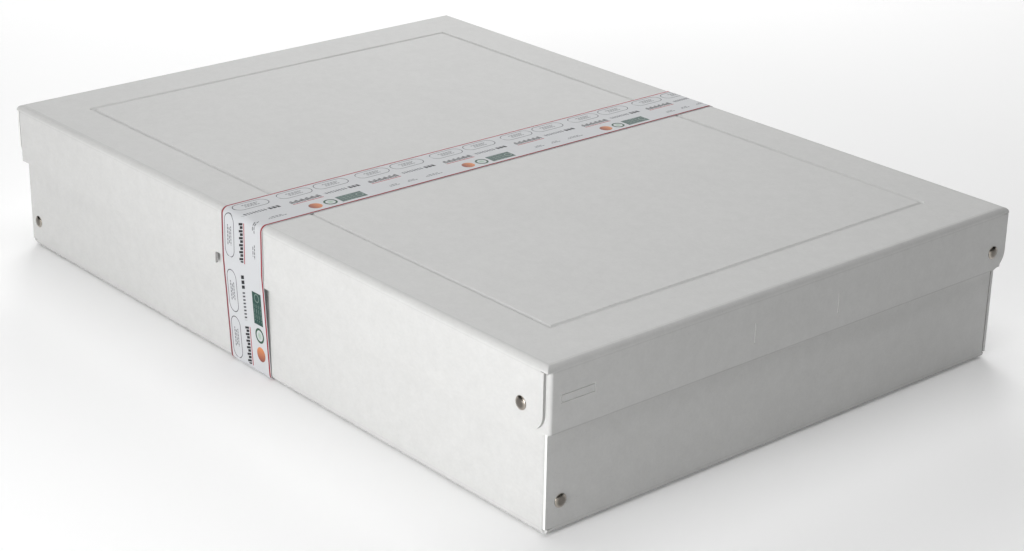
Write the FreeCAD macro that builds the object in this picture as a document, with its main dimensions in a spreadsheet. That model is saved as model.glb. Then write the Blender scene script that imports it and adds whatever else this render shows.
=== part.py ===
import FreeCAD, Part
import math
import os
from types import SimpleNamespace

import Sketcher

# Archival box: a tray and a lift-off lid, each die-cut from one sheet of solid board, creased,
# folded and riveted at its four corners, with a printed paper band round the closed box.
# Frame: X along the box, Y across it, Z up. The origin is on the surface that the box stands on,
# under the middle of the box. All lengths are in millimetres.

SIZES = [
    # alias, value, what it is
    ("tray_length", 459.2, "outside length of the tray"),
    ("tray_width", 315.2, "outside width of the tray"),
    ("tray_height", 84.3, "height of the tray's walls, board included"),
    ("lid_skirt", 33.5, "height of the lid's walls, board included"),
    ("board", 1.5, "thickness of the board"),
    ("fold_radius", 3.0, "outside radius of a fold between panel and wall"),
    ("crease_radius", 1.2, "inside radius of a fold between panel and wall"),
    ("wrap_radius", 1.9, "outside radius of an upright fold between wall and corner tab"),
    ("layer_gap", 0.1, "gap between a flap and the tab behind it"),
    ("lid_clearance", 0.3, "gap all round between the lid's corner tabs and the tray"),
    ("tab_length", 30.0, "length of a corner tab, from the corner"),
    ("corner_height", 3.0, "height of the closed corner below the flap's raw edge"),
    ("corner_slit", 0.3, "width of the slit between closed corner and flap"),
    ("corner_hole", 1.5, "radius of the relief hole at the tray's corners"),
    ("tray_setback", 0.2, "distance of the tray's flap edges from the corner"),
    ("tray_flap_radius", 4.0, "rounding of the free corner of the tray's flaps"),
    ("lid_side_setback", 2.9, "distance of the lid's long flap edges from the corner"),
    ("lid_end_setback", 0.4, "distance of the lid's end flap edges from the corner"),
    ("lid_flap_radius", 9.5, "rounding of the free corner of the lid's flaps"),
    ("slit_hole", 0.55, "radius of the relief hole where the lid's long flaps start"),
    ("slit_hole_height", 4.0, "distance of that relief hole below the lid's top"),
    ("slit_hole_edge", 2.4, "distance of that relief hole from the corner"),
    ("groove_end_inset", 33.0, "distance of the lid's panel grooves from its ends"),
    ("groove_side_inset", 30.6, "distance of the lid's panel grooves from its long sides"),
    ("groove_width", 2.8, "width of a panel groove at the surface"),
    ("groove_floor", 0.8, "width of a panel groove at its floor"),
    ("groove_depth", 0.7, "depth of a panel groove"),
    ("groove_overrun", 0.6, "length by which the grooves run past their crossings"),
    ("notch_width", 43.0, "width of the lid's thumb notches"),
    ("notch_height", 6.6, "height of the lid's thumb notches"),
    ("notch_radius", 1.2, "rounding of the thumb notch's inner corners"),
    ("notch_centre", -6.0, "place of the thumb notches along the box"),
    ("mark_spacing", 59.0, "distance between the two label marks on the end wall"),
    ("mark_height", 10.5, "height of a label mark"),
    ("mark_width", 0.9, "width of an embossed line"),
    ("mark_depth", 0.35, "depth of an embossed line"),
    ("mark_drop", 14.3, "distance of the label marks below the lid's top"),
    ("field_line", 0.6, "width of the blank field's outline"),
    ("field_width", 21.0, "width of the blank embossed field on the end wall"),
    ("field_height", 4.4, "height of the blank embossed field"),
    ("field_edge", 8.0, "distance of the blank field from the corner"),
    ("field_drop", 14.8, "distance of the blank field below the lid's top"),
    ("lid_side_rivet_edge", 17.5, "distance from the corner of the rivets in the lid's long walls"),
    ("lid_end_rivet_edge", 10.7, "distance from the corner of the rivets in the lid's end walls"),
    ("lid_rivet_drop", 22.9, "distance of the lid's rivets below its top"),
    ("tray_side_rivet_edge", 7.9, "distance from the corner of the rivets in the tray's long walls"),
    ("tray_end_rivet_edge", 9.0, "distance from the corner of the rivets in the tray's end walls"),
    ("tray_rivet_height", 15.8, "height of the tray's rivets above its underside"),
    ("head_radius", 3.5, "radius of a rivet's domed head"),
    ("head_height", 1.2, "height of a rivet's domed head"),
    ("head_rim", 0.35, "height of the head's rim"),
    ("head_crown", 1.6, "radius of the flatter middle of the head"),
    ("dome_radius", 7.0, "rounding of the dome"),
    ("shank_radius", 1.6, "outside radius of the rivet's hollow shank"),
    ("bore_radius", 1.0, "inside radius of the hollow shank"),
    ("cap_radius", 3.2, "radius of the rivet's inner cap"),
    ("cap_thickness", 0.4, "thickness of the inner cap, pressed flush into the tab"),
    ("pin_fit", 0.03, "gap between the inner cap's pin and the bore"),
    ("hole_fit", 0.05, "gap between rivet and board"),
    ("band_width", 36.5, "width of the paper band"),
    ("band_centre", -1.5, "place of the paper band along the box"),
    ("paper", 0.2, "thickness of the paper band"),
    ("band_gap", 0.05, "gap between band and board at the top and the underside"),
    ("band_foot_gap", 0.3, "gap between band and tray beside the bottom folds"),
    ("band_shoulder", 0.5, "stand-off of the band from the lid at its top edge"),
    ("band_bulge", 0.7, "stand-off of the band from the lid at the bend in its side"),
    ("bend_radius", 5.0, "rounding of the bend"),
    ("foot_radius", 3.0, "rounding of the band at the tray's bottom folds"),
    ("band_overlap", 16.0, "overlap of the band's glued ends"),
    ("glue", 0.05, "thickness of the glue film"),
    ("glue_margin", 1.5, "distance of the glue film from the paper's edges"),
]

doc = FreeCAD.newDocument("archival_box")
sheet = doc.addObject("Spreadsheet::Sheet", "sizes")
for row, (alias, value, meaning) in enumerate(SIZES, start=1):
    sheet.set(f"A{row}", meaning)
    sheet.set(f"B{row}", str(value))
    sheet.setAlias(f"B{row}", alias)
doc.recompute()


class Dim:
    """A length with its number and the spreadsheet expression that gives it."""

    def __init__(self, text, value):
        self.text = text
        self.value = value

    def joined(self, sign, other, value):
        return Dim(f"({self.text} {sign} {other.text})", value)

    def __add__(self, other):
        other = as_dim(other)
        return self.joined("+", other, self.value + other.value)

    def __sub__(self, other):
        other = as_dim(other)
        return self.joined("-", other, self.value - other.value)

    def __mul__(self, other):
        other = as_dim(other)
        return self.joined("*", other, self.value * other.value)

    def __truediv__(self, other):
        other = as_dim(other)
        return self.joined("/", other, self.value / other.value)

    def __radd__(self, other):
        return as_dim(other) + self

    def __rsub__(self, other):
        return as_dim(other) - self

    def __rmul__(self, other):
        return as_dim(other) * self

    def __neg__(self):
        return 0 - self


def as_dim(length):
    return length if isinstance(length, Dim) else Dim(f"{length:g}", float(length))


s = SimpleNamespace(**{alias: Dim(f"sizes.{alias}", value) for alias, value, _ in SIZES})


# ---------------------------------------------------------------- sketches and features


def new_body(name):
    body = doc.addObject("PartDesign::Body", name)
    body.Label = name
    return body


def new_sketch(body, name, role, offset=None):
    """A sketch on one of the body's own planes, moved along the plane's normal by offset."""
    sketch = body.newObject("Sketcher::SketchObject", name)
    plane = next(f for f in body.Origin.OriginFeatures if f.Role == role)
    sketch.AttachmentSupport = [(plane, "")]
    sketch.MapMode = "FlatFace"
    if offset is not None:
        sketch.setExpression("AttachmentOffset.Base.z", offset.text)
    return sketch


def set_length(sketch, length, kind, *places):
    """Add a constraint whose length is bound to the sheet."""
    number = sketch.addConstraint(Sketcher.Constraint(kind, *places, length.value))
    sketch.setExpression(f"Constraints[{number}]", length.text)


def pin_down(sketch, geometry, point, corner):
    """Fix one point of a sketch at a corner's two lengths from the sketch's origin."""
    set_length(sketch, corner[0], "DistanceX", -1, 1, geometry, point)
    set_length(sketch, corner[1], "DistanceY", -1, 1, geometry, point)


def add_outline(sketch, corners, closed=True):
    """Straight runs through corners (u, v) or (u, v, radius), with a tangent arc at each radius."""
    places = [[as_dim(length) for length in corner] for corner in corners]
    spots = [FreeCAD.Vector(place[0].value, place[1].value) for place in places]
    count = len(places)
    leave, arrive, arcs = list(spots), list(spots), {}
    for n, place in enumerate(places):
        if len(place) == 2:
            continue
        back = (spots[n - 1] - spots[n]).normalize()
        ahead = (spots[(n + 1) % count] - spots[n]).normalize()
        half = back.getAngle(ahead) / 2
        radius = place[2].value
        arrive[n] = spots[n] + back * (radius / math.tan(half))
        leave[n] = spots[n] + ahead * (radius / math.tan(half))
        centre = spots[n] + (back + ahead).normalize() * (radius / math.sin(half))
        turns_left = back.cross(ahead).z < 0
        ends = (arrive[n], leave[n]) if turns_left else (leave[n], arrive[n])
        angles = [math.atan2((end - centre).y, (end - centre).x) for end in ends]
        circle = Part.Circle(centre, FreeCAD.Vector(0, 0, 1), radius)
        arcs[n] = sketch.addGeometry(Part.ArcOfCircle(circle, *angles)), turns_left
    runs = []
    for n in range(count if closed else count - 1):
        run = Part.LineSegment(leave[n], arrive[(n + 1) % count])
        runs.append(sketch.addGeometry(run))
    for n, place in enumerate(places):
        before = runs[n - 1] if closed or n > 0 else None
        after = runs[n] if n < len(runs) else None
        if n in arcs:
            arc, turns_left = arcs[n]
            first, last = (1, 2) if turns_left else (2, 1)
            sketch.addConstraint(Sketcher.Constraint("Tangent", before, 2, arc, first))
            sketch.addConstraint(Sketcher.Constraint("Tangent", arc, last, after, 1))
            set_length(sketch, place[2], "Radius", arc)
            mark = sketch.addGeometry(Part.Point(spots[n]), True)
            sketch.addConstraint(Sketcher.Constraint("PointOnObject", mark, 1, before))
            sketch.addConstraint(Sketcher.Constraint("PointOnObject", mark, 1, after))
            pin_down(sketch, mark, 1, place)
        elif before is None or after is not None:
            pin_down(sketch, after, 1, place)
            if before is not None:
                sketch.addConstraint(Sketcher.Constraint("Coincident", before, 2, after, 1))
        else:
            pin_down(sketch, before, 2, place)


def add_rectangle(sketch, low, high):
    add_outline(sketch, [low, (high[0], low[1]), high, (low[0], high[1])])


def add_circle(sketch, centre, radius):
    spot = FreeCAD.Vector(centre[0].value, centre[1].value)
    circle = Part.Circle(spot, FreeCAD.Vector(0, 0, 1), radius.value)
    number = sketch.addGeometry(circle)
    set_length(sketch, radius, "Radius", number)
    pin_down(sketch, number, 3, centre)


def add_pad(body, name, sketch, length):
    pad = body.newObject("PartDesign::Pad", name)
    pad.Profile = sketch
    pad.setExpression("Length", length.text)
    doc.recompute()
    return pad


def add_pocket(body, name, sketch, depth=None, forwards=False, both_ways=False):
    """Cut by a depth, or through everything, against the sketch's normal or forwards along it."""
    before = body.Shape.Volume
    pocket = body.newObject("PartDesign::Pocket", name)
    pocket.Profile = sketch
    pocket.Reversed = forwards
    if depth is None:
        pocket.Type = "ThroughAll"
    else:
        pocket.setExpression("Length", depth.text)
    if both_ways:
        pocket.SideType = "Symmetric"
    doc.recompute()
    if body.Shape.Volume > before - 1e-3:
        raise RuntimeError(f"{body.Label}: {name} cuts nothing")


def add_fillet(body, name, spots, radius):
    """Round the edges that pass nearest to the spots (x, y, z)."""
    base = body.Tip
    edges = base.Shape.Edges
    picked = []
    for spot in spots:
        point = Part.Vertex(*[as_dim(length).value for length in spot])
        nearest = min(range(len(edges)), key=lambda n: edges[n].distToShape(point)[0])
        picked.append(f"Edge{nearest + 1}")
    fillet = body.newObject("PartDesign::Fillet", name)
    fillet.Base = (base, picked)
    fillet.setExpression("Radius", radius.text)
    doc.recompute()


def put(body, place, rotation=None):
    """Set a body's turn, and bind its place to the sheet."""
    body.Placement = FreeCAD.Placement(FreeCAD.Vector(), rotation or FreeCAD.Rotation())
    for axis, length in zip("xyz", place):
        body.setExpression(f"Placement.Base.{axis}", as_dim(length).text)


# ---------------------------------------------------------------- the folded blanks

# A blank's four corners as (x side, y side, wall whose flap lies outside). The other wall wraps
# round the corner and its tab lies behind the flap.
CORNERS = [(1, -1, "end"), (1, 1, "side"), (-1, 1, "end"), (-1, -1, "side")]
two_layers = 2 * s.board + s.layer_gap
corner_zone = two_layers + s.wrap_radius


def in_corner(blank, corner, depth, along):
    """The place that lies depth inside the flap's outer face and along it from the corner."""
    x_side, y_side, flap = corner
    in_x, in_y = (depth, along) if flap == "end" else (along, depth)
    return x_side * (blank.length / 2 - in_x), y_side * (blank.width / 2 - in_y)


def sketch_on_flap(blank, name, corner, depth):
    """A sketch in the plane that lies depth inside a flap's outer face, and whether the
    direction out of the box is the sketch's normal. Its own axes are X or Y, and Z."""
    x_side, y_side, flap = corner
    if flap == "end":
        offset = x_side * (blank.length / 2 - depth)
        return new_sketch(blank.body, name, "YZ_Plane", offset), x_side > 0
    offset = -y_side * (blank.width / 2 - depth)
    return new_sketch(blank.body, name, "XZ_Plane", offset), y_side < 0


def fold_panel_and_walls(blank):
    """Panel and four walls with rounded folds, square and closed at the corners."""
    body, half_x, half_y = blank.body, blank.length / 2, blank.width / 2
    outside = new_sketch(body, f"{blank.name}_outside", "XY_Plane")
    add_rectangle(outside, (-half_x, -half_y), (half_x, half_y))
    add_pad(body, f"{blank.name}_block", outside, blank.height)
    middles = [(half_x, 0), (-half_x, 0), (0, half_y), (0, -half_y)]
    folds = [(x, y, 0) for x, y in middles]
    add_fillet(body, f"{blank.name}_folds", folds, s.fold_radius)
    in_x, in_y = half_x - s.board, half_y - s.board
    inside = new_sketch(body, f"{blank.name}_inside", "XY_Plane", s.board)
    add_rectangle(inside, (-in_x, -in_y), (in_x, in_y))
    add_pocket(body, f"{blank.name}_hollow", inside, forwards=True)
    middles = [(in_x, 0), (-in_x, 0), (0, in_y), (0, -in_y)]
    creases = [(x, y, s.board) for x, y in middles]
    add_fillet(body, f"{blank.name}_creases", creases, s.crease_radius)


def fold_corners(blank):
    """Open the corners above the panel, and fold each into an outer flap over a wrapped tab."""
    body = blank.body
    opened = new_sketch(body, f"{blank.name}_opened", "XY_Plane", s.corner_height)
    for x_side, y_side, _ in CORNERS:
        half_x, half_y = x_side * (blank.length / 2), y_side * (blank.width / 2)
        inner = half_x - x_side * corner_zone, half_y - y_side * corner_zone
        outer = half_x + x_side * s.board, half_y + y_side * s.board
        add_rectangle(opened, inner, outer)
    add_pocket(body, f"{blank.name}_open_corners", opened, forwards=True)
    flap_start = s.corner_height + s.corner_slit
    flaps = new_sketch(body, f"{blank.name}_flaps", "XY_Plane", flap_start)
    wraps = new_sketch(body, f"{blank.name}_wraps", "XY_Plane", s.corner_height)
    root = corner_zone + s.board
    for corner in CORNERS:
        setback = blank.end_setback if corner[2] == "end" else blank.side_setback
        flap = [(0, setback), (0, root), (s.board, root), (s.board, setback)]
        add_outline(flaps, [in_corner(blank, corner, *place) for place in flap])
        fold = s.board + s.layer_gap
        wrap = [
            (root, 0),
            (fold, 0, s.wrap_radius),
            (fold, s.tab_length),
            (two_layers, s.tab_length),
            (two_layers, s.board, s.wrap_radius - s.board),
            (root, s.board),
        ]
        add_outline(wraps, [(*in_corner(blank, corner, *w[:2]), *w[2:]) for w in wrap])
    add_pad(body, f"{blank.name}_wrapped_tabs", wraps, blank.height - s.corner_height)
    add_pad(body, f"{blank.name}_outer_flaps", flaps, blank.height - flap_start)
    free = []
    for corner in CORNERS:
        setback = blank.end_setback if corner[2] == "end" else blank.side_setback
        free.append((*in_corner(blank, corner, s.board / 2, setback), blank.height))
    add_fillet(body, f"{blank.name}_flap_corners", free, blank.flap_radius)


def drill_corners(blank):
    """A hole for each corner's rivet, and a flush seat for its inner cap in the tab."""
    for number, corner in enumerate(CORNERS, start=1):
        if corner[2] == "end":
            centre = corner[1] * (blank.width / 2 - blank.end_rivet_edge), blank.rivet_height
        else:
            centre = corner[0] * (blank.length / 2 - blank.side_rivet_edge), blank.rivet_height
        name = f"{blank.name}_hole_{number}"
        hole, normal_out = sketch_on_flap(blank, f"{name}_circle", corner, as_dim(0))
        add_circle(hole, centre, s.shank_radius + s.hole_fit)
        depth = two_layers + s.layer_gap
        add_pocket(blank.body, name, hole, depth, forwards=not normal_out)
        name = f"{blank.name}_seat_{number}"
        seat, normal_out = sketch_on_flap(blank, f"{name}_circle", corner, two_layers)
        add_circle(seat, centre, s.cap_radius + s.hole_fit)
        add_pocket(blank.body, name, seat, s.cap_thickness, forwards=normal_out)


def folded_blank(name, **sizes):
    """One creased and folded blank, standing on its panel with its walls upward."""
    blank = SimpleNamespace(name=name, body=new_body(name), **sizes)
    fold_panel_and_walls(blank)
    fold_corners(blank)
    drill_corners(blank)
    return blank


under_tray = 2 * s.paper + s.glue + s.band_gap
lid_offset = two_layers + s.lid_clearance
lid_top = under_tray + s.tray_height + s.board

tray = folded_blank(
    "tray",
    length=s.tray_length,
    width=s.tray_width,
    height=s.tray_height,
    end_setback=s.tray_setback,
    side_setback=s.tray_setback,
    flap_radius=s.tray_flap_radius,
    side_rivet_edge=s.tray_side_rivet_edge,
    end_rivet_edge=s.tray_end_rivet_edge,
    rivet_height=s.tray_rivet_height,
)
relief = new_sketch(tray.body, "tray_relief_circles", "XY_Plane")
for x_side, y_side, _ in CORNERS:
    corner_point = x_side * (tray.length / 2), y_side * (tray.width / 2)
    add_circle(relief, corner_point, s.corner_hole)
relief_depth = s.corner_height + s.corner_slit
add_pocket(tray.body, "tray_relief_holes", relief, relief_depth, forwards=True)
put(tray.body, (0, 0, under_tray))

lid = folded_blank(
    "lid",
    length=s.tray_length + 2 * lid_offset,
    width=s.tray_width + 2 * lid_offset,
    height=s.lid_skirt,
    end_setback=s.lid_end_setback,
    side_setback=s.lid_side_setback,
    flap_radius=s.lid_flap_radius,
    side_rivet_edge=s.lid_side_rivet_edge,
    end_rivet_edge=s.lid_end_rivet_edge,
    rivet_height=s.lid_rivet_drop,
)
for corner in CORNERS:
    if corner[2] == "side":
        name = "lid_slit_hole_right" if corner[0] > 0 else "lid_slit_hole_left"
        circle, normal_out = sketch_on_flap(lid, f"{name}_circle", corner, as_dim(0))
        hole_x = corner[0] * (lid.length / 2 - s.slit_hole_edge)
        add_circle(circle, (hole_x, s.slit_hole_height), s.slit_hole)
        add_pocket(lid.body, name, circle, two_layers, forwards=not normal_out)


def add_panel_groove(role, centre, length):
    """Two parallel grooves in the lid's panel, at centre either side of the middle."""
    name = "lid_long_grooves" if role == "YZ_Plane" else "lid_cross_grooves"
    sections = new_sketch(lid.body, f"{name}_sections", role)
    for side in (-1, 1):
        middle = side * centre
        section = [
            (middle - s.groove_width / 2, -s.board),
            (middle - s.groove_width / 2, 0),
            (middle - s.groove_floor / 2, s.groove_depth),
            (middle + s.groove_floor / 2, s.groove_depth),
            (middle + s.groove_width / 2, 0),
            (middle + s.groove_width / 2, -s.board),
        ]
        add_outline(sections, section)
    add_pocket(lid.body, name, sections, length, both_ways=True)


groove_x = lid.length / 2 - s.groove_end_inset
groove_y = lid.width / 2 - s.groove_side_inset
add_panel_groove("YZ_Plane", groove_y, 2 * (groove_x + s.groove_overrun))
add_panel_groove("XZ_Plane", groove_x, 2 * (groove_y + s.groove_overrun))

notch = new_sketch(lid.body, "lid_notch_outline", "XZ_Plane")
notch_top = s.lid_skirt - s.notch_height
notch_low_x = s.notch_centre - s.notch_width / 2
notch_high_x = s.notch_centre + s.notch_width / 2
notch_outline = [
    (notch_low_x, s.lid_skirt + s.board),
    (notch_low_x, notch_top, s.notch_radius),
    (notch_high_x, notch_top, s.notch_radius),
    (notch_high_x, s.lid_skirt + s.board),
]
add_outline(notch, notch_outline)
add_pocket(lid.body, "lid_thumb_notches", notch, both_ways=True)

marks = new_sketch(lid.body, "lid_label_mark_lines", "YZ_Plane", lid.length / 2)
for side in (-1, 1):
    middle = side * s.mark_spacing / 2
    mark_low = middle - s.mark_width / 2, s.mark_drop
    mark_high = middle + s.mark_width / 2, s.mark_drop + s.mark_height
    add_rectangle(marks, mark_low, mark_high)
field_y = lid.width / 2 - s.field_edge
field_low = field_y - s.field_width, s.field_drop
field_high = field_y, s.field_drop + s.field_height
add_rectangle(marks, field_low, field_high)
field_low = field_low[0] + s.field_line, field_low[1] + s.field_line
field_high = field_high[0] - s.field_line, field_high[1] - s.field_line
add_rectangle(marks, field_low, field_high)
add_pocket(lid.body, "lid_embossed_lines", marks, s.mark_depth)

# The lid is the same blank turned over about X.
put(lid.body, (0, 0, lid_top), FreeCAD.Rotation(FreeCAD.Vector(1, 0, 0), 180))


# ---------------------------------------------------------------- the rivets


def turned_body(name, corners):
    """A body turned about its Z axis, from an outline in (radius, height)."""
    body = new_body(name)
    outline = new_sketch(body, f"{name}_outline", "XZ_Plane")
    add_outline(outline, corners)
    turned = body.newObject("PartDesign::Revolution", f"{name}_turned")
    turned.Profile = outline
    turned.ReferenceAxis = (outline, ["V_Axis"])
    turned.Angle = 360
    doc.recompute()
    return body


def rivet(name, place, outward):
    """A domed head with a hollow shank, and an inner cap whose pin fills the shank. The rivet's
    Z axis points out of the box and its origin is on the flap's outer face."""
    seat_floor = -(two_layers - s.cap_thickness)
    bore_end = seat_floor / 4
    head = [
        (0, s.head_height),
        (s.head_crown, s.head_height, s.dome_radius),
        (s.head_radius, s.head_rim, s.head_rim),
        (s.head_radius, 0),
        (s.shank_radius, 0),
        (s.shank_radius, seat_floor),
        (s.bore_radius, seat_floor),
        (s.bore_radius, bore_end),
        (0, bore_end),
    ]
    pin_radius = s.bore_radius - s.pin_fit
    cap = [
        (0, bore_end - s.hole_fit),
        (pin_radius, bore_end - s.hole_fit),
        (pin_radius, seat_floor),
        (s.cap_radius, seat_floor),
        (s.cap_radius, -two_layers),
        (0, -two_layers),
    ]
    turn = FreeCAD.Rotation(FreeCAD.Vector(0, 0, 1), FreeCAD.Vector(*outward))
    put(turned_body(f"{name}_head", head), place, turn)
    put(turned_body(f"{name}_cap", cap), place, turn)


def rivet_corners(prefix, blank, height, turned_over):
    """One rivet in each corner of a blank that stands on its panel or is turned over."""
    ends = {1: "right", -1: "left"}
    sides = {1: "back", -1: "front"}
    for x_side, y_side, flap in CORNERS:
        x, y = x_side * (blank.length / 2), y_side * (blank.width / 2)
        if flap == "end":
            y = y - y_side * blank.end_rivet_edge
            outward = x_side, 0, 0
        else:
            x = x - x_side * blank.side_rivet_edge
            outward = 0, y_side, 0
        if turned_over:
            y, y_side = -y, -y_side
            outward = outward[0], -outward[1], 0
        name = f"{prefix}_rivet_{sides[y_side]}_{ends[x_side]}"
        rivet(name, (x, y, height), outward)


rivet_corners("tray", tray, under_tray + s.tray_rivet_height, turned_over=False)
rivet_corners("lid", lid, lid_top - s.lid_rivet_drop, turned_over=True)


# ---------------------------------------------------------------- the paper band

# The band's middle line, in (y, z): it starts at its upper glued end under the tray, goes round
# the front, the top and the back, and ends below its own start.
upper_end = s.paper * 1.5 + s.glue
lower_end = s.paper / 2
foot_y = s.tray_width / 2 + s.band_foot_gap + s.paper / 2
bulge_y = lid.width / 2 + s.band_bulge
shoulder_y = lid.width / 2 + s.band_shoulder
bend_z = lid_top - notch_top
top_z = lid_top + s.band_gap + s.paper / 2
shoulder_radius = s.fold_radius + s.band_shoulder

band_body = new_body("paper_band")
band_path = new_sketch(band_body, "paper_band_path", "YZ_Plane")
band_corners = [
    (s.band_overlap / 2, upper_end),
    (-foot_y, upper_end, s.foot_radius),
    (-bulge_y, bend_z, s.bend_radius),
    (-shoulder_y, top_z, shoulder_radius),
    (shoulder_y, top_z, shoulder_radius),
    (bulge_y, bend_z, s.bend_radius),
    (foot_y, lower_end, s.foot_radius),
    (-s.band_overlap / 2, lower_end),
]
add_outline(band_path, band_corners, closed=False)
band_low_x = s.band_centre - s.band_width / 2
band_high_x = s.band_centre + s.band_width / 2
band_section = new_sketch(band_body, "paper_band_section", "XZ_Plane", -s.band_overlap / 2)
section_low = band_low_x, upper_end - s.paper / 2
section_high = band_high_x, upper_end + s.paper / 2
add_rectangle(band_section, section_low, section_high)
doc.recompute()
pipe = band_body.newObject("PartDesign::AdditivePipe", "paper_band_strip")
pipe.Profile = band_section
pipe.Spine = (band_path, [f"Edge{n + 1}" for n in range(len(band_path.Shape.Edges))])
doc.recompute()

glue_body = new_body("band_glue")
glue_outline = new_sketch(glue_body, "band_glue_outline", "XY_Plane", s.paper)
glue_low = band_low_x + s.glue_margin, s.glue_margin - s.band_overlap / 2
glue_high = band_high_x - s.glue_margin, s.band_overlap / 2 - s.glue_margin
add_rectangle(glue_outline, glue_low, glue_high)
add_pad(glue_body, "band_glue_film", glue_outline, s.glue)


# ---------------------------------------------------------------- checks and files

doc.recompute()
for thing in doc.Objects:
    if "Invalid" in thing.State or "Error" in thing.State:
        raise RuntimeError(f"{thing.Label} is {thing.State}")
bodies = [thing for thing in doc.Objects if thing.TypeId == "PartDesign::Body"]
for body in bodies:
    if body.Shape.isNull() or not body.Shape.isValid() or len(body.Shape.Solids) != 1:
        raise RuntimeError(f"{body.Label} isn't one valid solid")
strip_volume = band_path.Shape.Length * s.band_width.value * s.paper.value
if abs(band_body.Shape.Volume / strip_volume - 1) > 0.01:
    raise RuntimeError("the paper band isn't its section times its length")

os.makedirs("parts", exist_ok=True)
for body in bodies:
    body.Shape.exportStep(f"parts/{body.Label}.step")
    box = body.Shape.BoundBox
    low = f"{box.XMin:.2f} {box.YMin:.2f} {box.ZMin:.2f}"
    high = f"{box.XMax:.2f} {box.YMax:.2f} {box.ZMax:.2f}"
    print(f"{body.Label}: {low} to {high}, {body.Shape.Volume:.1f} mm3")
print(f"the paper band is {band_path.Shape.Length:.1f} mm long")
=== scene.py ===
import math

import bpy
import numpy as np
from mathutils import Matrix, Vector


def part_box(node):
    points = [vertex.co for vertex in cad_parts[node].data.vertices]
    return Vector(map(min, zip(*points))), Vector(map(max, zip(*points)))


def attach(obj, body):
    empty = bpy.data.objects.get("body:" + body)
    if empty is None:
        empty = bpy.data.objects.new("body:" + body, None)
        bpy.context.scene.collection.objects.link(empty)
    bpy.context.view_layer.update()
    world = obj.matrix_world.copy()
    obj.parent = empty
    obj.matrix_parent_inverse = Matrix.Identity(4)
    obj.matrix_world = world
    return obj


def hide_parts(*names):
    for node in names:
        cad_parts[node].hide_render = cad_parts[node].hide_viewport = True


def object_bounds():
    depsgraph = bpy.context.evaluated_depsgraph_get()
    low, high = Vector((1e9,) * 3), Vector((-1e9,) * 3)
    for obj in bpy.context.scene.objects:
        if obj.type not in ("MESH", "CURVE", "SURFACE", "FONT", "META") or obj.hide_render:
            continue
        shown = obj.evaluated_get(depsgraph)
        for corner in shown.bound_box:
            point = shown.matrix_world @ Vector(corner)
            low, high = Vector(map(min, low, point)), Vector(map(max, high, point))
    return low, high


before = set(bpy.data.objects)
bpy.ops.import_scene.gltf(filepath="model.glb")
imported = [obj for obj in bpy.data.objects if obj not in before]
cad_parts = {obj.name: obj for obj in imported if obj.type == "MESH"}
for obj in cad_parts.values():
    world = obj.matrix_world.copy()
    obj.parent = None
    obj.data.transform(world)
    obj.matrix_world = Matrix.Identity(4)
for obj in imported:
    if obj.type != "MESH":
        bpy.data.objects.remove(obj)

cad_box = [list(corner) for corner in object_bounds()]


# ---- The board of the tray and the lid -----------------------------------------------------
# Solid grey board, 1.5 mm thick, with smooth machine-made faces and a paler core that shows at
# every cut edge. Each half is one sheet, creased, folded and lapped at its four corners.


class Shade:
    """A number that varies over a surface. Arithmetic on it adds Math nodes to its finish."""

    def __init__(self, finish, socket):
        self.finish = finish
        self.socket = socket

    def math(self, operation, *values):
        return self.finish.node("ShaderNodeMath", dict(enumerate(values)), operation=operation)

    def __add__(self, other):
        return self.math("ADD", self, other)

    def __sub__(self, other):
        return self.math("SUBTRACT", self, other)

    def __mul__(self, other):
        return self.math("MULTIPLY", self, other)

    def __truediv__(self, other):
        return self.math("DIVIDE", self, other)

    def __pow__(self, other):
        return self.math("POWER", self, other)

    def __radd__(self, other):
        return self.math("ADD", other, self)

    def __rsub__(self, other):
        return self.math("SUBTRACT", other, self)

    def __rmul__(self, other):
        return self.math("MULTIPLY", other, self)

    def __abs__(self):
        return self.math("ABSOLUTE", self)

    def __gt__(self, other):
        return self.math("GREATER_THAN", self, other)

    def __lt__(self, other):
        return self.math("LESS_THAN", self, other)

    def at_least(self, other):
        return self.math("MAXIMUM", self, other)

    def at_most(self, other):
        return self.math("MINIMUM", self, other)

    def repeated(self, pitch):
        """The distance from the start of the pitch that the value lies in."""
        return self.math("WRAP", self, pitch, 0.0)

    def within(self, centre, half, soft):
        """1 where the value is nearer to centre than half, with an edge as wide as soft."""
        return ((half - abs(self - centre)) / soft + 0.5).at_least(0).at_most(1)


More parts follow.
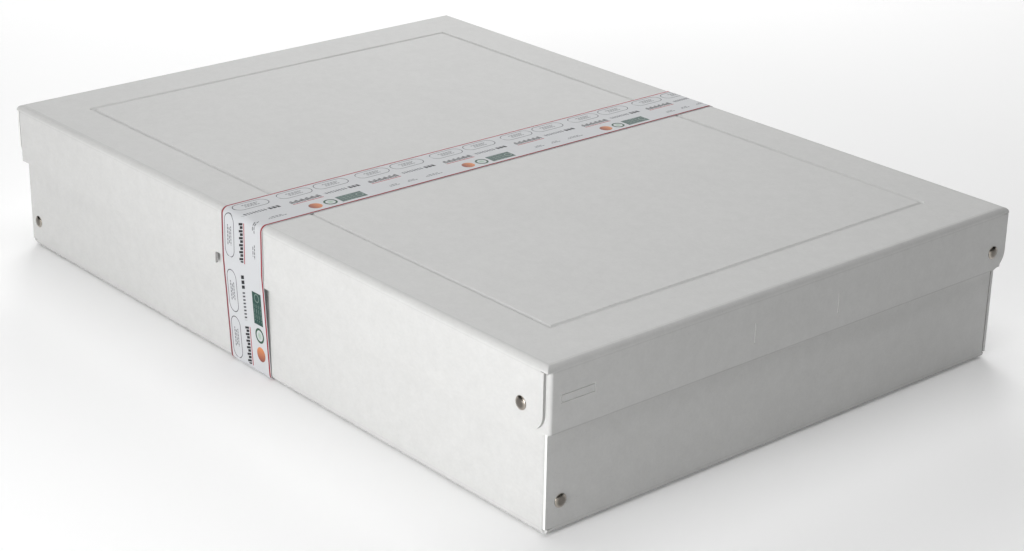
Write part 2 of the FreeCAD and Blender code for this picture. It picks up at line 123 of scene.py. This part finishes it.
class Finish:
    """One material: its Principled shader, and one method that adds any other node."""

    def __init__(self, name, **constants):
        self.material = bpy.data.materials.new(name)
        self.material.use_nodes = True
        self.tree = self.material.node_tree
        self.shader = self.tree.nodes["Principled BSDF"]
        for socket, value in constants.items():
            self.shader.inputs[socket.replace("_", " ")].default_value = value

    def connect(self, value, target):
        if isinstance(value, Shade):
            self.tree.links.new(value.socket, target)
        else:
            target.default_value = value

    def node(self, kind, values=None, output=0, **settings):
        """A node of that kind, with its settings made first and then its inputs."""
        node = self.tree.nodes.new(kind)
        for setting, value in settings.items():
            setattr(node, setting, value)
        for socket, value in (values or {}).items():
            self.connect(value, node.inputs[socket])
        return Shade(self, node.outputs[output])

    def parts_of(self, vector):
        """The three numbers of a vector."""
        split = self.tree.nodes.new("ShaderNodeSeparateXYZ")
        self.connect(vector, split.inputs[0])
        return [Shade(self, socket) for socket in split.outputs]

    def mix(self, mask, below, above):
        """The colour below where mask is 0, and the colour above where it is 1."""
        values = {0: mask, 6: below, 7: above}
        return self.node("ShaderNodeMix", values, output=2, data_type="RGBA")

    def tint(self, colour, factor):
        """A colour made lighter or darker by a factor that varies."""
        grey = self.node("ShaderNodeCombineColor", {0: factor, 1: factor, 2: factor})
        values = {0: 1.0, 6: colour, 7: grey}
        settings = {"data_type": "RGBA", "blend_type": "MULTIPLY"}
        return self.node("ShaderNodeMix", values, output=2, **settings)

    def noise(self, place, scale, detail=2.0, roughness=0.5):
        """Noise between 0 and 1. Scale is in waves a metre, one number or one for each axis."""
        scales = (scale,) * 3 if isinstance(scale, (int, float)) else scale
        stretched = self.node("ShaderNodeVectorMath", {0: place, 1: scales}, operation="MULTIPLY")
        values = {"Vector": stretched, "Scale": 1.0, "Detail": detail, "Roughness": roughness}
        return self.node("ShaderNodeTexNoise", values)

    def finish_surface(self, colour, roughness, height, strength=1.0):
        """Feed what varies to the shader. Height is in metres."""
        values = {"Strength": strength, "Distance": 1.0, "Height": height}
        bump = self.node("ShaderNodeBump", values)
        self.connect(colour, self.shader.inputs["Base Color"])
        self.connect(roughness, self.shader.inputs["Roughness"])
        self.connect(bump, self.shader.inputs["Normal"])


MM = 0.001
BOARD = 1.5 * MM
BOARD_GREY = (0.60, 0.600, 0.591, 1.0)
BOARD_CORE = (0.86, 0.86, 0.84, 1.0)
# painted shade: the darker grey given to the lid's side flap ends and notch sides
PAINTED_SHADE_GREY = (0.44, 0.44, 0.43, 1.0)
FOLD = 3.0 * MM
FLAP_END_ZONE = 14 * MM
NOTCH_CENTRE = -6 * MM
NOTCH_ZONE = 23 * MM
NOTCH_DEPTH = 26 * MM
GROOVE_DEPTH = 0.7 * MM


def board_finish(name, node, panel_z, rim_z, turn):
    """Grey board for one folded blank. Turn is 1 where the end flaps lie outside at the corners
    whose x and y have one sign, as on the lid, and -1 at the other two, as on the tray."""
    finish = Finish(name, IOR=1.45, Sheen_Weight=0.05, Sheen_Roughness=0.6)
    place = finish.node("ShaderNodeTexCoord", output="Object")
    x, y, z = finish.parts_of(place)
    normal = finish.node("ShaderNodeNewGeometry", output="True Normal")
    normal_x, normal_y, normal_z = finish.parts_of(normal)
    low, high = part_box(node)
    half_x, half_y = (high[0] - low[0]) / 2, (high[1] - low[1]) / 2
    from_panel = abs(z - panel_z)
    on_lid = float(turn > 0)

    # Cut edges: the rim and the free ends of the outer end flaps. The ends of the lid's side
    # flaps and the thumb notches' sides are painted a darker grey: painted shade, for the shade
    # they lie in.
    level = abs(normal_z) > 0.5
    rim = (abs(z - rim_z) < 0.06 * MM) * level
    same_sign = (x * y * turn) > 0
    below_fold = from_panel > FOLD + 0.05 * MM
    in_side_wall = (abs(y) > half_y - BOARD - 0.03 * MM) * (abs(normal_y) < 0.6) * below_fold
    in_end_wall = (abs(x) > half_x - BOARD - 0.03 * MM) * (abs(normal_x) < 0.6) * below_fold
    side_end = in_side_wall * (abs(x) > half_x - FLAP_END_ZONE) * (1 - same_sign)
    notch_side = in_side_wall * (abs(x - NOTCH_CENTRE) < NOTCH_ZONE) * (from_panel > NOTCH_DEPTH)
    end_end = in_end_wall * same_sign * (abs(y) > half_y - FLAP_END_ZONE)
    painted_shade_ends = side_end.at_least(notch_side) * on_lid
    cut = end_end.at_least(rim)

    # Folds: painted shade, darker over each fold, and a fine darker line sunk along both sides.
    tilt = abs(normal_z)
    painted_fold_shade = (from_panel < FOLD) * tilt.within(0.7, 0.42, 0.3)
    to_end = half_x - abs(x)
    to_edge = to_end.at_most(half_y - abs(y))
    on_panel = (from_panel < 0.1 * MM) * level
    panel_line = to_edge.within(FOLD + 0.2 * MM, 0.3 * MM, 0.4 * MM) * on_panel
    wall_line = from_panel.within(FOLD + 0.4 * MM, 0.2 * MM, 0.6 * MM) * (1 - cut)
    crease_with_shade = panel_line.at_least(wall_line)

    # The end walls' rims: a painted shadow line, darker along the outer face at the edge.
    painted_rim_shadow = abs(z - rim_z).within(0, 0.55 * MM, 0.3 * MM) * (abs(normal_x) > 0.6) * (1 - level)

    # Embossed marks and the grooves' sloping walls are painted paler: a painted highlight.
    painted_mark_highlight = (to_end > 0.2 * MM) * (to_end < 0.5 * MM) * (abs(normal_x) > 0.9)
    painted_mark_highlight = painted_mark_highlight * (from_panel > 10 * MM) * on_lid
    painted_groove_highlight = (from_panel > 0.05 * MM) * (from_panel < GROOVE_DEPTH + 0.05 * MM)
    painted_groove_highlight = painted_groove_highlight * (to_edge > 20 * MM) * tilt.within(0.8, 0.15, 0.02)

    fibre = finish.noise(place, (500, 700, 700), detail=4.0, roughness=0.65)
    felt = finish.noise(place, 160, detail=3.0, roughness=0.6)
    cloud = finish.noise(place, 14, detail=2.0)
    ply = finish.noise(place, (900, 900, 2600), detail=2.0)
    speck = (finish.noise(place, 900, detail=1.0) - 0.70).at_least(0) * 2.0
    mottle = finish.noise(place, (60, 60, 90), detail=3.0, roughness=0.6)
    shade = 0.83 + 0.13 * fibre + 0.10 * felt + 0.05 * mottle + 0.06 * cloud - 0.3 * speck
    # painted shade: darker over the folds, along their fine lines and along the end walls' rims
    shade = shade * (1 - 0.10 * crease_with_shade - 0.09 * painted_fold_shade - 0.16 * painted_rim_shadow)
    # painted highlight: paler embossed marks and grooves' walls
    shade = shade * (1 + 0.42 * painted_mark_highlight + 0.14 * painted_groove_highlight)
    # painted shade: the lid's side flap ends and notch sides take the darker grey
    grey = finish.mix(painted_shade_ends, finish.tint(BOARD_GREY, shade), PAINTED_SHADE_GREY)
    core = finish.tint(BOARD_CORE, 0.93 + 0.12 * ply)
    colour = finish.mix(cut, grey, core)
    rough = 0.62 + 0.16 * fibre + 0.12 * cut
    height = 0.020 * MM * fibre + 0.030 * MM * felt - 0.10 * MM * crease_with_shade + 0.05 * MM * cut * ply
    finish.finish_surface(colour, rough, height, strength=0.55)
    return finish.material


def cover(node, material):
    """Give a CAD node its finish."""
    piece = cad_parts[node]
    for slot in piece.material_slots:
        slot.material = material
    if not piece.material_slots:
        piece.data.materials.append(material)


tray_low, tray_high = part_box("tray")
lid_low, lid_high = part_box("lid")
cover("tray", board_finish("tray_board", "tray", tray_low[2], tray_high[2], -1))
cover("lid", board_finish("lid_board", "lid", lid_high[2], lid_low[2], 1))


# ---- The rivets ----------------------------------------------------------------------------
# Eight two-part rivets of nickel-plated steel hold the lapped corners. The domed heads show
# outside, and the flat caps are pressed into the tabs inside.


def nickel_finish():
    """Warm grey plate with fine rubbing marks, and a painted dark reflection on each head's flat
    middle.
    """
    finish = Finish("rivet_nickel", Metallic=1.0, IOR=1.8)
    place = finish.node("ShaderNodeTexCoord", output="Object")
    marks = finish.noise(place, (5200, 5200, 1600), detail=3.0)
    dull = finish.noise(place, 420, detail=2.0)
    normal = finish.node("ShaderNodeNewGeometry", output="True Normal")
    normal_x, normal_y, _ = finish.parts_of(normal)
    # painted reflection: each head's flat middle is painted darker, for the dark room it would
    # mirror
    painted_dark_reflection = abs(normal_x).at_least(abs(normal_y)).within(1.0, 0.06, 0.06)
    colour = finish.tint((0.46, 0.42, 0.37, 1.0), (0.86 + 0.2 * dull) * (1 - 0.62 * painted_dark_reflection))
    rough = 0.13 + 0.12 * dull + 0.06 * marks
    finish.finish_surface(colour, rough, 0.006 * MM * marks + 0.01 * MM * dull, strength=0.5)
    return finish.material


nickel = nickel_finish()
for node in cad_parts:
    if node.endswith(("_head", "_cap")):
        cover(node, nickel)


# ---- The paper band ------------------------------------------------------------------------
# A strip of smooth white paper, 0.2 mm thick, printed in grey, red and dark green. It goes once
# round the closed box and its ends are lapped and glued under the tray.

band_low, band_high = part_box("paper_band")
PAPER = 0.2 * MM
SIDE_STRETCH = 1.137
BAND_MIDDLE = (band_low[2] + band_high[2]) / 2
PRINT_PITCH = 51.0
PRINT_START = 131.0
UV_IN_METRES = 10
UV_IN_MILLIMETRES = 100.0


def arc(centre, radius, start, end, count):
    """Points on an arc: centre plus radius times the cosine and sine of each angle in degrees."""
    angles = np.radians(np.linspace(start, end, count))
    return centre + radius * np.column_stack((np.cos(angles), np.sin(angles)))


def rounded_path(corners):
    """A path through corners (y, z, radius): straight runs, and at each corner the arc that
    touches both runs, which leaves a run at radius / tan(half the angle between the runs)."""
    places = np.array([corner[:2] for corner in corners])
    points = [places[0][None]]
    for before, here, after, corner in zip(places, places[1:], places[2:], corners[1:]):
        back = (before - here) / np.linalg.norm(before - here)
        ahead = (after - here) / np.linalg.norm(after - here)
        half = math.acos(float(back @ ahead)) / 2
        inward = (back + ahead) / np.linalg.norm(back + ahead)
        centre = here + inward * corner[2] / math.sin(half)
        ends = [here + run * corner[2] / math.tan(half) - centre for run in (back, ahead)]
        start, end = (math.degrees(math.atan2(spoke[1], spoke[0])) for spoke in ends)
        end = start + (end - start + 180) % 360 - 180
        points.append(arc(centre, corner[2], start, end, 9))
    points.append(places[-1][None])
    return np.concatenate(points)


def spaced(path, step):
    """The path with points added so that none are further apart than step."""
    lengths = np.linalg.norm(np.diff(path, axis=0), axis=1)
    along = np.concatenate(([0], np.cumsum(lengths)))
    extra = np.linspace(0, along[-1], int(along[-1] / step))
    places = np.unique(np.concatenate((along, extra)).round(6))
    return np.column_stack([np.interp(places, along, path[:, axis]) for axis in (0, 1)]), places


def grid_mesh(name, points, coordinates):
    """A surface over a grid of points (rows, columns, 3), with its two coordinates as UV."""
    rows, columns = points.shape[:2]
    corner = (np.arange(rows - 1)[:, None] * columns + np.arange(columns - 1)).ravel()
    faces = np.column_stack((corner, corner + 1, corner + columns + 1, corner + columns))
    mesh = bpy.data.meshes.new(name)
    mesh.from_pydata(points.reshape(-1, 3).tolist(), [], faces.tolist())
    uv = mesh.uv_layers.new(name="print")
    uv.data.foreach_set("uv", coordinates.reshape(-1, 2)[faces.ravel()].astype("f4").ravel())
    mesh.polygons.foreach_set("use_smooth", [True] * len(faces))
    piece = bpy.data.objects.new(name, mesh)
    bpy.context.collection.objects.link(piece)
    return piece


def band_surface():
    """The band's middle surface: the path round the box in (y, z), carried across the width in x,
    with a slow ripple of its sides, sin(2 pi (distance along / wave + turn across)), that dies
    away where the paper lies on the board. The first coordinate is the print's own distance."""
    middle = PAPER / 2
    top = band_high[2] - middle
    bend = lid_low[2] + 6.6 * MM
    foot = tray_high[1] + 0.3 * MM + middle
    bulge = lid_high[1] + 0.7 * MM
    shoulder = lid_high[1] + 0.5 * MM
    half_lap = 8 * MM
    upper = 0.35 * MM
    corners = [
        (half_lap, upper, 0),
        (-foot, upper, 3 * MM),
        (-bulge, bend, 5 * MM),
        (-shoulder, top, 3.5 * MM),
        (shoulder, top, 3.5 * MM),
        (bulge, bend, 5 * MM),
        (foot, middle, 3 * MM),
        (-half_lap, middle, 0),
    ]
    path, along = spaced(rounded_path(corners), 1.5 * MM)
    across = np.linspace(band_low[0], band_high[0], 25)
    y, z = path[:, 0], path[:, 1]
    side = (z > 4 * MM) & (z < top - 6 * MM)
    depth = np.where(side, np.sin(np.pi * (z - 4 * MM) / (top - 10 * MM)), 0.0)
    turn = (across - across[0]) / (across[-1] - across[0])
    ripple = depth[:, None] * np.sin(2 * np.pi * (along[:, None] / 0.043 + 0.35 * turn))
    proud = 0.10 * MM * ripple * (2 * turn - 1) ** 2
    points = np.empty((len(path), len(across), 3))
    points[..., 0] = across
    points[..., 1] = y[:, None] - np.sign(y)[:, None] * np.abs(proud)
    points[..., 2] = z[:, None]
    on_top = z > top - 1e-6
    start, end = along[on_top][0], along[on_top][-1]
    start_y, end_y = y[on_top][0], y[on_top][-1]
    printed = start_y + along - start
    printed = np.where(along < start, start_y - (start - along) / SIDE_STRETCH, printed)
    printed = np.where(along > end, end_y + (along - end) / SIDE_STRETCH, printed)
    coordinates = np.empty((len(path), len(across), 2))
    coordinates[..., 0] = printed[:, None] * UV_IN_METRES
    coordinates[..., 1] = across * UV_IN_METRES
    return points, coordinates


def print_finish():
    """White paper, and the print laid out in a cell that repeats along the band, in millimetres
    along the band and across the box. All of it is plain bars, ovals, a block, a ring and a dot,
    with no lettering, and it is on the outer side only."""
    finish = Finish(
        "printed_paper",
        IOR=1.47,
        Specular_IOR_Level=0.25,
        Subsurface_Weight=0.35,
        Subsurface_Radius=(1.0, 1.0, 1.0),
        Subsurface_Scale=0.4 * MM,
    )
    uv = finish.node("ShaderNodeUVMap", uv_map="print")
    along, across, _ = finish.parts_of(uv)
    along = along * UV_IN_MILLIMETRES + PRINT_START
    across = across * UV_IN_MILLIMETRES
    cell = along.repeated(PRINT_PITCH)
    double = along.repeated(2 * PRINT_PITCH)
    soft = 0.16
    band_centre = -1.5
    red_lines = abs(across - band_centre).within(17.35, 0.6, soft)

    def dashes(value, pitch, share):
        return value.repeated(pitch).within(pitch / 2, pitch * share / 2, soft)

    def bar_row(value, centre, half_length, middle, half_height, pitch):
        row = across.within(middle, half_height, soft) * value.within(centre, half_length, soft)
        return row * dashes(value, pitch, 0.78)

    def oval(centre):
        reach = (abs(cell - centre) - 6.4).at_least(0)
        distance = (reach ** 2 + (across + 12.7) ** 2) ** 0.5
        lines = bar_row(cell, centre, 4.6, -11.3, 0.34, 1.55)
        lines = lines.at_least(bar_row(cell, centre, 3.8, -12.7, 0.34, 2.1))
        lines = lines.at_least(bar_row(cell, centre, 4.9, -14.1, 0.38, 1.8))
        return distance.within(4.1, 0.22, soft), lines

    outline_a, lines_a = oval(10.4)
    outline_b, lines_b = oval(34.0)
    outlines = outline_a.at_least(outline_b)
    small = lines_a.at_least(lines_b)
    for centre, half in ((59.2, 3.4), (71.2, 3.4), (86.0, 5.6)):
        small = small.at_least(bar_row(double, centre, half, 9.9, 0.36, 1.7))
        small = small.at_least(bar_row(double, centre, half * 0.7, 8.5, 0.36, 2.3))

    slanted = cell - (across + 2.1) * 0.25
    tall = across.within(-2.1, 1.8, soft) * dashes(slanted, 3.36, 0.34)
    short = across.within(-1.6, 1.3, soft) * dashes(slanted + 1.6, 3.36, 0.40)
    word = tall.at_least(short) * slanted.within(9.7, 9.8, soft)
    underline = across.within(0.75, 0.34, soft) * cell.within(9.7, 9.9, soft)
    script = across.within(-2.3, 1.15, soft) * slanted.within(29.4, 7.2, soft)
    script = script * dashes(slanted, 1.75, 0.50)
    tail = across.within(-2.2, 1.35, soft) * slanted.within(41.6, 3.6, soft)
    tail = tail * dashes(slanted, 2.5, 0.74)

    block_x, block_y = double - 31.2, across - 9.2
    block = block_x.within(0, 8.05, soft) * block_y.within(0, 3.9, soft)
    block_lines = block_x.within(-2.2, 4.2, soft) * dashes(block_y, 1.9, 0.22)
    block_lines = block_lines * dashes(block_x, 2.7, 0.8)
    seal = ((block_x - 5.3) ** 2 + block_y ** 2) ** 0.5
    block_marks = block * block_lines.at_least(seal.within(1.9, 0.28, soft))
    ring_distance = ((double - 17.7) ** 2 + (across - 9.2) ** 2) ** 0.5
    ring = ring_distance.within(3.25, 0.55, soft)
    ring_middle = ring_distance.within(0, 1.6, 1.2)
    dot_x = double - 8.2
    dot = ((dot_x ** 2 + (across - 9.2) ** 2) ** 0.5).within(0, 3.7, soft)
    dot_side = (dot_x / 7.4 + 0.5).at_least(0).at_most(1)

    place = finish.node("ShaderNodeTexCoord", output="Object")
    fibre = finish.noise(place, 1400, detail=3.0, roughness=0.6)
    cloud = finish.noise(place, 90, detail=2.0)
    worn = 1 - 0.3 * (fibre - 0.5).at_least(0)
    paper = finish.tint((0.565, 0.575, 0.59, 1.0), 0.96 + 0.04 * fibre + 0.03 * cloud)
    colour = finish.mix(red_lines * worn, paper, (0.27, 0.02, 0.03, 1.0))
    colour = finish.mix(outlines * worn, colour, (0.07, 0.07, 0.08, 1.0))
    colour = finish.mix(small * worn * 0.85, colour, (0.06, 0.06, 0.07, 1.0))
    colour = finish.mix(word.at_least(tail) * worn, colour, (0.015, 0.015, 0.018, 1.0))
    colour = finish.mix(script * worn * 0.95, colour, (0.05, 0.05, 0.06, 1.0))
    colour = finish.mix(underline * worn, colour, (0.36, 0.03, 0.04, 1.0))
    colour = finish.mix(block * worn, colour, (0.022, 0.068, 0.056, 1.0))
    colour = finish.mix(block_marks * 0.38, colour, (0.38, 0.48, 0.44, 1.0))
    colour = finish.mix(ring * worn, colour, (0.035, 0.09, 0.055, 1.0))
    colour = finish.mix(ring_middle * 0.6, colour, (0.25, 0.42, 0.28, 1.0))
    clay = finish.mix(dot_side, (0.20, 0.035, 0.025, 1.0), (0.66, 0.24, 0.08, 1.0))
    colour = finish.mix(dot * worn * 0.95, colour, clay)
    _, y, z = finish.parts_of(place)
    normal = finish.node("ShaderNodeNewGeometry", output="True Normal")
    _, normal_y, normal_z = finish.parts_of(normal)
    outer_side = (normal_y * y + normal_z * (z - BAND_MIDDLE)) > 0
    colour = finish.mix(outer_side, paper, colour)
    ink = word.at_least(block).at_least(red_lines) * outer_side
    rough = 0.64 + 0.14 * fibre - 0.10 * ink
    finish.finish_surface(colour, rough, 0.012 * MM * fibre + 0.03 * MM * cloud, strength=0.5)
    return finish.material


band = grid_mesh("printed_band", *band_surface())
band.data.materials.append(print_finish())
thickness = band.modifiers.new("paper", "SOLIDIFY")
thickness.thickness = PAPER
thickness.offset = 0.0
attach(band, "band")
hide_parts("paper_band")


# ---- The glue film -------------------------------------------------------------------------
# A thin smear of dried paste between the band's lapped ends, clear and slightly uneven.


def glue_finish():
    """Dried paste: cream, a little glossy, with small bubbles."""
    finish = Finish("glue_film", IOR=1.5)
    place = finish.node("ShaderNodeTexCoord", output="Object")
    smear = finish.noise(place, (120, 600, 600), detail=3.0)
    colour = finish.tint((0.74, 0.70, 0.60, 1.0), 0.85 + 0.25 * smear)
    finish.finish_surface(colour, 0.25 + 0.3 * smear, 0.01 * MM * smear, strength=0.5)
    return finish.material


cover("band_glue", glue_finish())


# ---- The studio ----------------------------------------------------------------------------
# A wide pale floor, soft lamps and a plain surround. None of it is part of the box.

BOX_MIDDLE = (0, 0, 0.03)

def pale_floor():
    """A flat sheet far wider than the box, at its foot."""
    reach = np.linspace(-6, 6, 13)
    x, y = np.meshgrid(reach, reach, indexing="ij")
    points = np.stack((x, y, np.full_like(x, cad_box[0][2])), axis=-1)
    floor = grid_mesh("floor", points, points[..., :2])
    floor.data.flip_normals()
    finish = Finish("floor_paint", IOR=1.4)
    place = finish.node("ShaderNodeTexCoord", output="Object")
    grain = finish.noise(place, 40, detail=3.0)
    finish.shader.inputs["Emission Color"].default_value = (1.0, 1.0, 1.0, 1.0)
    finish.shader.inputs["Emission Strength"].default_value = 0.07
    colour = finish.tint((0.94, 0.94, 0.94, 1.0), 0.99 + 0.01 * grain)
    finish.finish_surface(colour, 0.85 + 0.05 * grain, 0.01 * MM * grain, strength=0.2)
    floor.data.materials.append(finish.material)


def softbox(name, place, size, power):
    """A square lamp at place that faces the middle of the box."""
    lamp = bpy.data.lights.new(name, "AREA")
    lamp.shape = "SQUARE"
    lamp.size = size
    lamp.energy = power
    lamp_object = bpy.data.objects.new(name, lamp)
    bpy.context.collection.objects.link(lamp_object)
    lamp_object.location = place
    aim = Vector(BOX_MIDDLE) - Vector(place)
    lamp_object.rotation_euler = aim.to_track_quat("-Z", "Y").to_euler()


def surround(strength):
    """Even light from all round."""
    world = bpy.data.worlds.new("surround")
    world.use_nodes = True
    background = world.node_tree.nodes["Background"]
    background.inputs["Color"].default_value = (1.0, 1.0, 1.0, 1.0)
    background.inputs["Strength"].default_value = strength
    bpy.context.scene.world = world


def camera(place, heading, pitch, roll, lens):
    """A camera at place. Heading is its direction over the floor from +X, pitch is how far it
    looks down and roll is its turn about its own line of sight, all in degrees."""
    heading, pitch, roll = (math.radians(angle) for angle in (heading, pitch, roll))
    over_floor = Vector((math.cos(heading), math.sin(heading), 0))
    ahead = math.cos(pitch) * over_floor - math.sin(pitch) * Vector((0, 0, 1))
    level_right = ahead.cross(Vector((0, 0, 1))).normalized()
    level_up = level_right.cross(ahead)
    right = math.cos(roll) * level_right + math.sin(roll) * level_up
    up = right.cross(ahead)
    eye = bpy.data.objects.new("camera", bpy.data.cameras.new("camera"))
    bpy.context.collection.objects.link(eye)
    turn = Matrix((right, up, -ahead)).transposed().to_4x4()
    eye.matrix_world = Matrix.Translation(place) @ turn
    eye.data.lens = lens
    eye.data.sensor_width = 36.0
    bpy.context.scene.camera = eye


pale_floor()
softbox("overhead", (0, 0, 2.4), 2.4, 37)
softbox("far_left", (-1.35, 1.15, 0.75), 1.1, 18.5)
softbox("left", (-2.3, 0.9, 1.2), 1.3, 9)
softbox("low_front", (0.3, -1.1, 0.25), 0.4, 6.8)
softbox("near_corner", (0.9, -1.3, 0.55), 0.7, 4.4)
surround(0.015)
camera((0.8767, -0.7438, 0.4873), 138.93, 22.39, 1.07, 77.5)
bpy.context.scene.view_settings.view_transform = "Standard"
